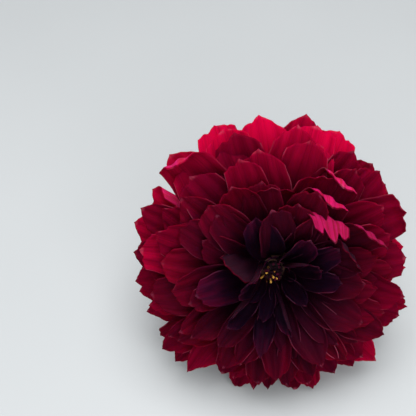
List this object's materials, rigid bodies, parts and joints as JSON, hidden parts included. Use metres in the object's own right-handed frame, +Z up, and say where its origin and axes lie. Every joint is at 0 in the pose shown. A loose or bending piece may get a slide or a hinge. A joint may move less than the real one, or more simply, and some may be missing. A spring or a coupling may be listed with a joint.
{
  "type": "dahlia bloom",
  "caption": "Full double cut flower head with layered ray florets round a small dark eye, backed by bracts and lying on its lower petals and cut stem.",
  "frame": {"origin": "centre of the bounding box's base, on the surface that the flower lies on", "axes": "+Z up; the face looks along -Y and 24 degrees upwards; the stem runs back along +Y; +X to the right of the face as it is looked at"},
  "size_m": [0.1324, 0.1889, 0.123],
  "materials": {
    "petals_inner": "velvety, near-black maroon",
    "petals_middle": "velvety, dark maroon",
    "petals_outer": "velvety, deep crimson, pinker on the back",
    "disc_florets": "matt, near-black purple",
    "disc_anthers": "matt, pollen yellow",
    "bracts_papery": "satin, thin and papery",
    "green_base": "satin, leaf green",
    "stem": "satin, green tinged with purple"
  },
  "bodies": {
    "root": {"petals_inner": "petals_inner", "petals_middle": "petals_middle", "petals_outer": "petals_outer", "disc_florets": "disc_florets", "disc_anthers": "disc_anthers", "bracts_papery": "bracts_papery", "base_with_leafy_bracts": "green_base", "stem": "stem"}
  },
  "joints": []
}
